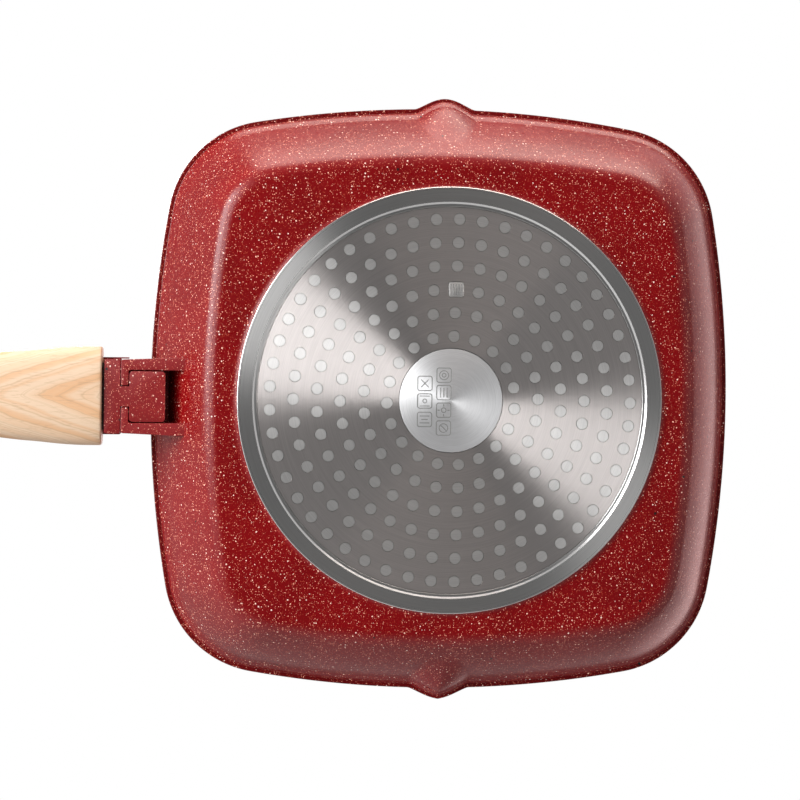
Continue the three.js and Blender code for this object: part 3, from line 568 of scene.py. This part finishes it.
def edge_of_pan(half, height, inset=0.0, reach=LIP_WALL_REACH):
    """The bowed square outline at a half width and a height, as a function of the turn about Z."""
    corner = corner_at(half + inset) - inset
    bow = SIDE_BOW - inset
    bow_centre = half - bow
    centre = (bow_centre + math.sqrt(2 * (bow - corner) ** 2 - bow_centre ** 2)) / 2
    meet = math.atan2(centre, centre - bow_centre)
    meet_turn = math.atan2(bow * math.sin(meet), bow_centre + bow * math.cos(meet))

    def place(turn):
        turn = crowded(turn)
        quarter = round(turn / QUARTER)
        local = turn - quarter * QUARTER
        if abs(local) < meet_turn:
            aside = bow_centre * math.sin(local)
            radius = bow_centre * math.cos(local) + math.sqrt(bow ** 2 - aside ** 2)
        else:
            along = centre * (math.cos(local) + abs(math.sin(local)))
            radius = along + math.sqrt(along ** 2 - 2 * centre ** 2 + corner ** 2)
        x, y = radius * math.cos(turn), radius * math.sin(turn)
        if quarter % 2:
            y += math.copysign(lip_push(x, height, reach, y), y)
        return Vector((x, y, height))

    return place


def round_edge(radius, height):
    def place(turn):
        turn = crowded(turn)
        return Vector((radius * math.cos(turn), radius * math.sin(turn), height))

    return place


# Pieces of the pan

def pan_shell():
    """One skin from the recess behind the foot over the walls and the rim to the cooking floor. Returns
    the half width of that floor."""
    levels = [round_edge(FOOT_RADIUS - RECESS_WIDTH, RECESS_HEIGHT),
              round_edge(FOOT_RADIUS - 0.3, RECESS_HEIGHT), round_edge(FOOT_RADIUS - 0.25, 0.9)]
    levels += [round_edge(FOOT_RADIUS + COVE_GAP + COVE_REACH * (1 - math.cos(swing)),
                          COVE_START + (BASE_HEIGHT - COVE_START) * math.sin(swing))
               for swing in spread(0, QUARTER, 6)]
    start_normal = WALL_NORMAL - WALL_BEND
    fillet = [(FILLET_HALF + OUTER_FILLET * math.cos(swing),
               BASE_HEIGHT + OUTER_FILLET * (1 + math.sin(swing)))
              for swing in spread(-QUARTER, start_normal, 9)]
    levels += [edge_of_pan(half, height) for half, height in fillet]
    # The wall bends outwards along a curve with one knee.
    start, end = Vector(fillet[-1]), Vector((wall_half(WALL_END), WALL_END))
    knee = start + Vector((-math.sin(start_normal), math.cos(start_normal))) * (end - start).length / 2
    for share in spread(0, 1, 18)[1:]:
        place = start.lerp(knee, share).lerp(knee.lerp(end, share), share)
        levels.append(edge_of_pan(place.x, place.y))
    levels += [edge_of_pan(half, height, 0.0, LEDGE_REACH) for half, height in LEDGE]
    levels += [edge_of_pan(half, height, 0.0, LIP_REACH) for half, height in BEAD]
    inner = wall_half(RIM_HEIGHT) - WALL_INSET
    levels += [edge_of_pan(inner + out, height, WALL_INSET) for out, height in RIM_INSIDE]
    centre_height = FLOOR_HEIGHT + FLOOR_FILLET
    centre_half = wall_half(centre_height) - WALL_INSET - FLOOR_FILLET / math.cos(WALL_NORMAL)
    inner_wall_end = centre_height + FLOOR_FILLET * math.sin(WALL_NORMAL)
    levels += [edge_of_pan(wall_half(height) - WALL_INSET, height, WALL_INSET)
               for height in spread(INNER_WALL_TOP, inner_wall_end, 12)[1:]]
    levels += [edge_of_pan(centre_half + FLOOR_FILLET * math.cos(swing),
                           centre_height + FLOOR_FILLET * math.sin(swing), WALL_INSET)
               for swing in spread(WALL_NORMAL, -QUARTER, 9)[1:]]
    shell = finished("pan_shell", grown_skin(levels, SHELL_STEPS), COAT, "pan", 50)
    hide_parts("pan_body")
    return centre_half


def grill_ribs(floor_half):
    """Ribs with rounded ends and edges, each as long as the floor's outline lets it be."""
    edge = floor_half - RIB_MARGIN
    corner = corner_at(floor_half) - RIB_MARGIN
    count = int((edge - RIB_WIDTH / 2) // RIB_PITCH)
    ribs = []
    for i in range(-count, count + 1):
        place = i * RIB_PITCH
        into = max(0, abs(place) + RIB_WIDTH / 2 - (edge - corner))
        half = edge - corner + math.sqrt(max(0, corner ** 2 - into ** 2))
        outline = rectangle(-half, half, place - RIB_WIDTH / 2, place + RIB_WIDTH / 2)
        ribs.append(slab(outline, FLOOR_HEIGHT - RIB_ROOT, FLOOR_HEIGHT + RIB_HEIGHT, range(4),
                         RIB_END_ROUND, RIB_ROUND, 4))
    finished("grill_ribs", joined(ribs), COAT, "pan", 30)


def turned_foot():
    """The bare metal ring that the pan stands on, with the disc's pocket, and the face of the hub."""
    pocket, seat = DISC_RADIUS + DISC_GAP, HUB_RADIUS - 0.5
    ring = [(seat, POCKET_FLOOR), (pocket, POCKET_FLOOR), (pocket, BAND_DEPTH + 0.15),
            (pocket + 0.15, BAND_DEPTH), (FOOT_INNER - 0.95, BAND_DEPTH),
            (FOOT_INNER - 0.8, BAND_DEPTH - 0.04), (FOOT_INNER - 0.06, 0.06), (FOOT_INNER + 0.06, 0),
            (FOOT_RADIUS - 0.36, 0), (FOOT_RADIUS - 0.28, 0.03), (FOOT_RADIUS - 0.03, 0.28),
            (FOOT_RADIUS, 0.36), (FOOT_RADIUS, 1.2), (FOOT_RADIUS - 0.6, FOOT_BACK),
            (seat, FOOT_BACK), (seat, POCKET_FLOOR)]
    finished("turned_foot", spun(ring, 256), MACHINED, "pan", 12)
    face = [(0, BAND_DEPTH), (HUB_RADIUS - 0.45, BAND_DEPTH), (HUB_RADIUS - 0.2, BAND_DEPTH + 0.07),
            (HUB_RADIUS - 0.02, BAND_DEPTH + 0.3), (HUB_RADIUS, HUB_BACK), (0, HUB_BACK)]
    finished("hub_face", spun(face, 128), HUB, "pan", 30)


def dot_places():
    """The dots of the disc: the ring, the place in it, and the middle of the dot."""
    for ring, count in enumerate(RING_COUNTS):
        radius = FIRST_RING + ring * RING_PITCH
        for i in range(count):
            turn = ROW_ANGLE + math.tau * i / count
            yield (ring, i), radius * math.cos(turn), radius * math.sin(turn)


def base_disc():
    """The steel disc: a flat ring with its holes."""
    bm = bmesh.new()
    for radius, steps in ((DISC_RADIUS, 256), (HUB_RADIUS + DISC_GAP, 96)):
        bmesh.ops.create_circle(bm, segments=steps, radius=radius)
    for dot, x, y in dot_places():
        if dot == SQUARE_DOT:
            hole = rounded_square(bm, SQUARE_HOLE_HALF, SQUARE_HOLE_CORNER, filled=False)
        else:
            hole = bmesh.ops.create_circle(bm, segments=20, radius=DOT_RADIUS)["verts"]
        bmesh.ops.translate(bm, vec=(x, y, 0), verts=hole)
    bmesh.ops.translate(bm, vec=(0, 0, BAND_DEPTH), verts=bm.verts)
    bmesh.ops.triangle_fill(bm, use_beauty=True, use_dissolve=False, edges=bm.edges)
    raise_faces(bm, list(bm.faces), DISC_THICKNESS, keep=True)
    disc = finished("steel_disc", bm, TURNED, "pan", 30)
    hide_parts("induction_disc")


def disc_pips():
    """The aluminium that fills the holes of the disc."""
    pips = []
    for dot, x, y in dot_places():
        if dot == SQUARE_DOT:
            half = SQUARE_PIP_HALF
            pip = slab(rectangle(x - half, x + half, y - half, y + half), BAND_DEPTH + SQUARE_PIP_SUNK,
                       PIP_BACK, range(4), SQUARE_PIP_CORNER, SQUARE_PIP_EDGE, segments=2)
        else:
            face = BAND_DEPTH + PIP_SUNK
            pip = spun([(0, face), (PIP_RADIUS, face), (PIP_RADIUS, PIP_BACK), (0, PIP_BACK)], 18)
            bmesh.ops.translate(pip, vec=(x, y, 0), verts=pip.verts)
        pips.append(pip)
    finished("disc_pips", joined(pips), STUD, "pan", 25)


def line_sign(bm, x, y, stroke):
    """Makes the one face in a bmesh a thin raised outline round a place on the hub."""
    middle = list(bm.faces)
    bmesh.ops.inset_region(bm, faces=middle, thickness=stroke, use_even_offset=True, use_boundary=True)
    bmesh.ops.delete(bm, geom=middle, context="FACES")
    raise_faces(bm, list(bm.faces), SIGN_DEPTH)
    bmesh.ops.translate(bm, vec=(x, y, BAND_DEPTH - SIGN_RISE), verts=bm.verts)
    return bm


def frame_sign(x, y):
    bm = bmesh.new()
    rounded_square(bm, SIGN_HALF, SIGN_CORNER, filled=True)
    return line_sign(bm, x, y, FRAME_STROKE)


def ring_sign(x, y, radius):
    bm = bmesh.new()
    bmesh.ops.create_circle(bm, cap_ends=True, segments=20, radius=radius)
    return line_sign(bm, x, y, RING_STROKE)


def bar_sign(x, y, length, stroke, turn):
    along = Vector((math.cos(turn), math.sin(turn))) * length / 2
    aside = Vector((-math.sin(turn), math.cos(turn))) * stroke / 2
    middle = Vector((x, y))
    outline = [middle - along - aside, middle + along - aside, middle + along + aside,
               middle - along + aside]
    return slab(outline, BAND_DEPTH - SIGN_RISE, BAND_DEPTH - SIGN_RISE + SIGN_DEPTH)


def disc_signs():
    """Seven plain signs for kinds of hob on one half of the hub, and the bars on the square pip."""
    parts = []
    for x, y, rings, bars in SIGNS:
        parts.append(frame_sign(x, y))
        parts += [ring_sign(x, y, radius) for radius in rings]
        parts += [bar_sign(x + across, y + along, length, BAR_STROKE, turns * QUARTER)
                  for across, along, length, turns in bars]
    _, x, y = next(place for place in dot_places() if place[0] == SQUARE_DOT)
    parts += [bar_sign(x + i * PIP_BAR_PITCH, y, PIP_BAR_LENGTH, PIP_BAR_STROKE, QUARTER)
              for i in range(-2, 3)]
    finished("disc_signs", joined(parts), ETCHED, "pan", 30)


def handle_bracket():
    """Two arms that end in lips, under a closed roof, and cut off inside the pan's wall. The roof stands a
    hair proud of the arms, so that no two faces lie in one plane."""
    wide, inner, pocket_end = BRACKET_HALF + BRACKET_FLARE, BRACKET_HALF - ARM, BRACKET_END - LIP
    parts = []
    for side in (-1, 1):
        outline = [(-BRACKET_ROOT, side * wide), (-BRACKET_FLARE_END, side * wide),
                   (-BRACKET_END, side * BRACKET_HALF), (-BRACKET_END, side * SLOT_HALF),
                   (-pocket_end, side * SLOT_HALF), (-pocket_end, side * inner),
                   (-BRACKET_ROOT, side * inner)]
        parts.append(slab(outline, BRACKET_UNDERSIDE, BRACKET_TOP - ARM_DROP, (2, 3, 4, 5),
                          BRACKET_CORNER, ARM_EDGE))
    wide, half, end = wide + ROOF_PROUD, BRACKET_HALF + ROOF_PROUD, BRACKET_END + ROOF_PROUD
    roof = [(-BRACKET_ROOT, -wide), (-BRACKET_FLARE_END, -wide), (-end, -half), (-end, half),
            (-BRACKET_FLARE_END, wide), (-BRACKET_ROOT, wide)]
    parts.append(slab(roof, BRACKET_TOP - ROOF, BRACKET_TOP, (2, 3), BRACKET_CORNER, ROOF_EDGE))
    bracket = joined(parts)
    heart = wall_half(BRACKET_UNDERSIDE) - WALL_INSET / 2
    everything = list(bracket.verts) + list(bracket.edges) + list(bracket.faces)
    cut = bmesh.ops.bisect_plane(bracket, geom=everything, plane_co=(-heart, 0, BRACKET_UNDERSIDE),
                                 plane_no=(math.cos(WALL_NORMAL), 0, -math.sin(WALL_NORMAL)),
                                 clear_outer=True)
    bmesh.ops.holes_fill(bracket, edges=edges_of(cut["geom_cut"]))
    finished("handle_bracket", bracket, DULL_COAT, "pan", 30)


# Pieces of the handle

def dressed_copy(node, name, material, body, width, segments=3):
    """A CAD piece with its edges rounded, drawn from its own solid."""
    bm = bmesh.new()
    bm.from_mesh(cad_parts[node].data)
    bmesh.ops.remove_doubles(bm, verts=bm.verts, dist=1e-6)
    bmesh.ops.dissolve_limit(bm, angle_limit=math.radians(1), verts=bm.verts, edges=bm.edges)
    mesh = bpy.data.meshes.new(name)
    bm.to_mesh(mesh)
    bm.free()
    mesh.materials.append(material)
    piece = bpy.data.objects.new(name, mesh)
    bpy.context.scene.collection.objects.link(piece)
    bevel = piece.modifiers.new("round", "BEVEL")
    bevel.width = width * MM
    bevel.segments = segments
    bevel.limit_method = "ANGLE"
    bevel.angle_limit = math.radians(35)
    bevel.harden_normals = True
    mesh.shade_smooth()
    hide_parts(node)
    if body:
        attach(piece, body)
    return piece


def handle_pieces():
    dressed_copy("handle_head", "handle_head_casting", DULL_COAT, "handle", 0.4)
    dressed_copy("head_cover", "head_cover_hood", DULL_COAT, "handle", 0.5)
    dressed_copy("thumb_slide", "ridged_thumb_slide", BLACK, "latch", 0.25, 2)
    for side in ("left", "right"):
        dressed_copy("cover_screw_" + side, "dome_screw_" + side, ZINC, "handle", 0.3)
    leaf = dressed_copy("latch_leaf", "flexing_latch_leaf", SPRING, None, 0.15, 2)
    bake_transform(leaf, "handle", "latch", start=(-0.1568, 0, 0.024), end=(-0.1568, 0, 0.0348))
    for node, material in (("heat_washer", GASKET), ("tie_rod", ZINC), ("rod_washer", ZINC),
                           ("rod_nut", ZINC)):
        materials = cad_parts[node].data.materials
        materials.clear()
        materials.append(material)


def grip_axis(distance):
    return GRIP_CENTRE + (distance - GRIP_FRONT) * GRIP_RISE / GRIP_LENGTH


def station(share):
    """Half width and half height of the grip as shares, smooth between its stations."""
    last = len(GRIP_STATIONS) - 1
    i = max(0, min(last - 1, sum(1 for row in GRIP_STATIONS if row[0] <= share) - 1))
    before, after = GRIP_STATIONS[i], GRIP_STATIONS[i + 1]
    span = after[0] - before[0]
    t = (share - before[0]) / span

    def slope(column, k):
        low, high = GRIP_STATIONS[max(0, k - 1)], GRIP_STATIONS[min(last, k + 1)]
        return (high[column] - low[column]) / (high[0] - low[0])

    def curve(column):
        leaving, arriving = slope(column, i) * span, slope(column, i + 1) * span
        return ((2 * t ** 3 - 3 * t ** 2 + 1) * before[column] + (t ** 3 - 2 * t ** 2 + t) * leaving
                + (-2 * t ** 3 + 3 * t ** 2) * after[column] + (t ** 3 - t ** 2) * arriving)

    return curve(1), curve(2)


def grip_level(share, edge=0.0):
    """The grip's outline at a share of its length, drawn in by an edge's rounding."""
    width, height = station(share)
    power = 2 / (3.6 - 1.1 * share)
    distance = GRIP_FRONT + GRIP_LENGTH * share
    half_width, half_height = GRIP_HALF_WIDTH * width - edge, GRIP_HALF_HEIGHT * height - edge

    def place(turn):
        across, up = math.cos(turn), math.sin(turn)
        return Vector((-distance, half_width * math.copysign(abs(across) ** power, across),
                       grip_axis(distance) + half_height * math.copysign(abs(up) ** power, up)))

    return place


def grip_cutters():
    """What is cut out of the grip. The last cutter is of two cylinders that overlap."""
    deck = rectangle(CUT_START, DECK_CUT_END, -DECK_CUT_HALF, DECK_CUT_HALF)
    tenon = rectangle(CUT_START, TENON_CUT_END, -TENON_CUT_HALF, TENON_CUT_HALF)
    slot = rectangle(SLOT_END, SLOT_START, -HANG_SLOT_HALF, HANG_SLOT_HALF)
    bore = bmesh.new()
    tilt = math.atan2(GRIP_RISE, GRIP_LENGTH)
    for radius, start, end in BORES:
        made = bmesh.ops.create_cone(bore, cap_ends=True, segments=48, radius1=radius, radius2=radius,
                                     depth=(end - start) / math.cos(tilt))["verts"]
        middle = (start + end) / 2
        bmesh.ops.rotate(bore, verts=made, cent=(0, 0, 0), matrix=Matrix.Rotation(tilt - QUARTER, 3, "Y"))
        bmesh.ops.translate(bore, vec=(-middle, 0, grip_axis(middle)), verts=made)
    return [slab(deck, DECK_SEAT, CUT_TOP, (1, 2), DECK_CUT_CORNER),
            slab(tenon, TENON_CUT_FLOOR, DECK_SEAT + 0.3),
            slab(slot, 0, CUT_TOP, range(4), HANG_SLOT_CORNER), bore]


def wooden_grip():
    levels = [grip_level(0, GRIP_EDGE)]
    for lean in (math.radians(swing) for swing in (20, 45, 70)):
        levels.append(grip_level(GRIP_EDGE * (1 - math.cos(lean)) / GRIP_LENGTH,
                                 GRIP_EDGE * (1 - math.sin(lean))))
    shares = [GRIP_EDGE / GRIP_LENGTH, *(i / GRIP_ROWS for i in range(1, GRIP_EVEN_ROWS + 1)),
              *GRIP_END_SHARES]
    levels += [grip_level(share) for share in shares]
    grip = finished("wooden_grip", grown_skin(levels, GRIP_STEPS), WOOD, None, 40)
    cutters = grip_cutters()
    for cutter in cutters:
        cut = grip.modifiers.new("cut", "BOOLEAN")
        cut.operation, cut.solver, cut.use_self = "DIFFERENCE", "EXACT", cutter is cutters[-1]
        cut.object = finished("cutter", cutter, WOOD, None)
    graph = bpy.context.evaluated_depsgraph_get()
    mesh = bpy.data.meshes.new_from_object(grip.evaluated_get(graph))
    for cut in list(grip.modifiers):
        tool = cut.object
        grip.modifiers.remove(cut)
        bpy.data.objects.remove(tool)
    grip.data = mesh
    mesh.shade_smooth()
    mesh.set_sharp_from_angle(angle=math.radians(35))
    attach(grip, "handle")
    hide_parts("grip")


floor_half = pan_shell()
grill_ribs(floor_half)
turned_foot()
base_disc()
disc_pips()
disc_signs()
handle_bracket()
handle_pieces()
wooden_grip()


# Floor, light and camera

def stage_floor():
    """Pale paper that only the camera sees, and only from above."""
    bm = bmesh.new()
    bmesh.ops.create_grid(bm, x_segments=1, y_segments=1, size=FLOOR_HALF)
    bmesh.ops.translate(bm, vec=(0, 0, -FLOOR_DROP), verts=bm.verts)
    look = Finish("Pale floor")
    sight = look.add("ShaderNodeLightPath", {}, {})
    side = look.add("ShaderNodeNewGeometry", {}, {})
    shown = Value(look, sight.outputs["Is Camera Ray"]) * (1 - Value(look, side.outputs["Backfacing"]))
    clear = look.add("ShaderNodeBsdfTransparent", {}, {})
    paper = look.add("ShaderNodeBsdfDiffuse", {}, {"Color": (0.93, 0.93, 0.93)})
    white = look.add("ShaderNodeEmission", {}, {"Color": WHITE, "Strength": 1})
    x, y = look.axes(look.place)[:2]
    far = ((x * x + y * y) ** 0.5).step(PAPER_END, WHITE_START)
    sheet = look.add("ShaderNodeMixShader", {}, {0: far, 1: paper.outputs[0], 2: white.outputs[0]})
    mixed = look.add("ShaderNodeMixShader", {}, {0: shown, 1: clear.outputs[0], 2: sheet.outputs[0]})
    look.join(mixed.outputs[0], look.tree.nodes["Material Output"].inputs[0])
    floor = finished("floor", bm, look.material, None, recalculate=False)


def surround():
    """White where the camera sees it. As light it follows SKY, brighter towards -X and +Y, with a pink
    glow from above at +X and a weaker one from the side at -X."""
    world = bpy.data.worlds.new("Studio")
    bpy.context.scene.world = world
    world.use_nodes = True
    nodes = Nodes(world.node_tree)
    direction = nodes.add("ShaderNodeTexCoord", {}, {}).outputs["Generated"]
    x, y, z = nodes.axes(direction)
    sky = nodes.add("ShaderNodeValToRGB", {"stops": SKY}, {0: z * 0.5 + 0.5})
    level = Value(nodes, sky.outputs[0]) + (y * 0.7 - x * 0.7).step(0.3, 0.95) * 0.35
    above = x.step(0.2, 0.6) * z.step(0.45, 0.8) * (y.step(-0.35, 0.3) * 0.6 + 0.5) * 2.1
    aside = x.step(-0.3, -0.8) * z.step(0.12, 0.26) * z.step(0.52, 0.38) * 0.5
    glow = above + aside
    light = nodes.vector(level + glow, level + glow * 0.62, level + glow * 0.6)
    sight = nodes.add("ShaderNodeLightPath", {}, {}).outputs
    seen = Value(nodes, sight["Is Camera Ray"]) + Value(nodes, sight["Is Transmission Ray"])
    nodes.join(nodes.mix(seen, light, WHITE), nodes.tree.nodes["Background"].inputs["Color"])


def softbox(name, azimuth, off_axis, distance, wide, tall, level, below, tint):
    """A rectangular lamp whose face has a level of brightness. Azimuth turns from +X towards +Y, and the
    angle off the axis is counted from straight below the pan, or from straight above it."""
    light = bpy.data.lights.new(name, "AREA")
    light.shape, light.size, light.size_y = "RECTANGLE", wide, tall
    light.energy = level * math.pi * wide * tall
    light.color = tint
    turn, lean = math.radians(azimuth), math.radians(off_axis)
    towards = Vector((math.sin(lean) * math.cos(turn), math.sin(lean) * math.sin(turn),
                      -math.cos(lean) if below else math.cos(lean)))
    piece = bpy.data.objects.new(name, light)
    bpy.context.scene.collection.objects.link(piece)
    piece.location = towards * distance
    piece.rotation_mode = "QUATERNION"
    piece.rotation_quaternion = towards.to_track_quat("Z", "Y")
    piece.visible_camera = False


def camera():
    """Looks up at the pan from below, with +X to the right and +Y down in the image."""
    data = bpy.data.cameras.new("camera")
    data.sensor_width = SENSOR_WIDTH
    data.lens = FOCAL_PIXELS / IMAGE_PIXELS * SENSOR_WIDTH
    data.clip_start, data.clip_end = 0.01, 50
    made = bpy.data.objects.new("camera", data)
    bpy.context.scene.collection.objects.link(made)
    axes = Matrix.Identity(3)
    for axis, angle in CAMERA_TURNS:
        axes = axes @ Matrix.Rotation(angle, 3, axis)
    turn = Matrix((axes[0], -axes[1], -axes[2])).transposed()
    made.matrix_world = Matrix.Translation(Vector(CAMERA_PLACE) * MM) @ turn.to_4x4()
    bpy.context.scene.camera = made


stage_floor()
surround()
for lamp in LAMPS:
    softbox(*lamp)
camera()
bpy.context.scene.view_settings.view_transform = "Standard"
